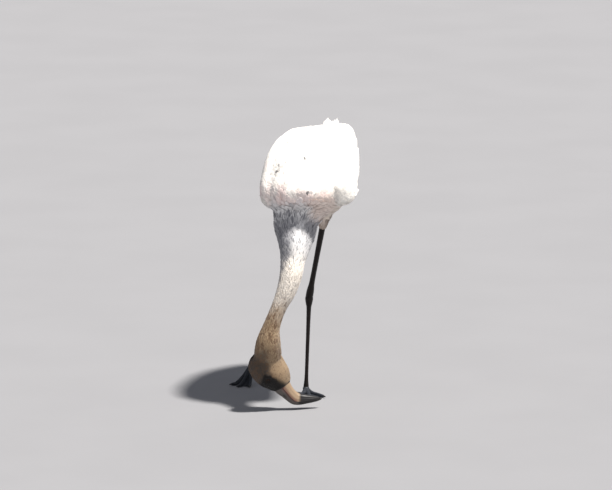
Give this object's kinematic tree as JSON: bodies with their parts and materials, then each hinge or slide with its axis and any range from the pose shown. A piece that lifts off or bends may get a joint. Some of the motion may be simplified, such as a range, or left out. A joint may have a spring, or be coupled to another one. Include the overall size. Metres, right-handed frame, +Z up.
{
  "type": "greater flamingo display model",
  "caption": "Life-size immature greater flamingo, standing with its neck hung down and its bent bill on the floor to feed.",
  "frame": {"origin": "on the floor, under the middle of the bird's bounding box", "axes": "+Z up; the bird faces -Y, and its own left side is +X"},
  "size_m": [0.3452, 0.5612, 0.6644],
  "materials": {
    "white_feathers": "soft white feathers, faintly pink",
    "grey_feathers": "pale grey feathers with dark shaft streaks",
    "tan_feathers": "short grey-brown feathers",
    "brown_feathers": "very short brown-grey feathers",
    "black_feathers": "black flight feathers",
    "bill_horn": "satin horn, pale at the base and black at the tip",
    "leg_skin": "near-black scaled skin",
    "foot_skin": "dark blue-grey webbed skin",
    "claw_horn": "black horn",
    "eye_dark": "polished dark brown"
  },
  "bodies": {
    "root": {"trunk": "white_feathers", "neck_middle": "white_feathers", "wing_left": "white_feathers", "wing_right": "white_feathers", "tail": "white_feathers", "plume_inner": "white_feathers", "plume_outer": "white_feathers", "neck_lower": "grey_feathers", "thigh_left": "grey_feathers", "thigh_right": "grey_feathers", "neck_upper": "tan_feathers", "head": "brown_feathers", "flight_feathers_left": "black_feathers", "flight_feathers_right": "black_feathers", "bill_upper": "bill_horn", "bill_lower": "bill_horn", "shank_left": "leg_skin", "shank_right": "leg_skin", "tarsus_left": "leg_skin", "tarsus_right": "leg_skin", "foot_left": "foot_skin", "foot_right": "foot_skin", "claw_inner_left": "claw_horn", "claw_middle_left": "claw_horn", "claw_outer_left": "claw_horn", "claw_hind_left": "claw_horn", "claw_inner_right": "claw_horn", "claw_middle_right": "claw_horn", "claw_outer_right": "claw_horn", "claw_hind_right": "claw_horn", "eye_left": "eye_dark", "eye_right": "eye_dark"}
  },
  "joints": []
}
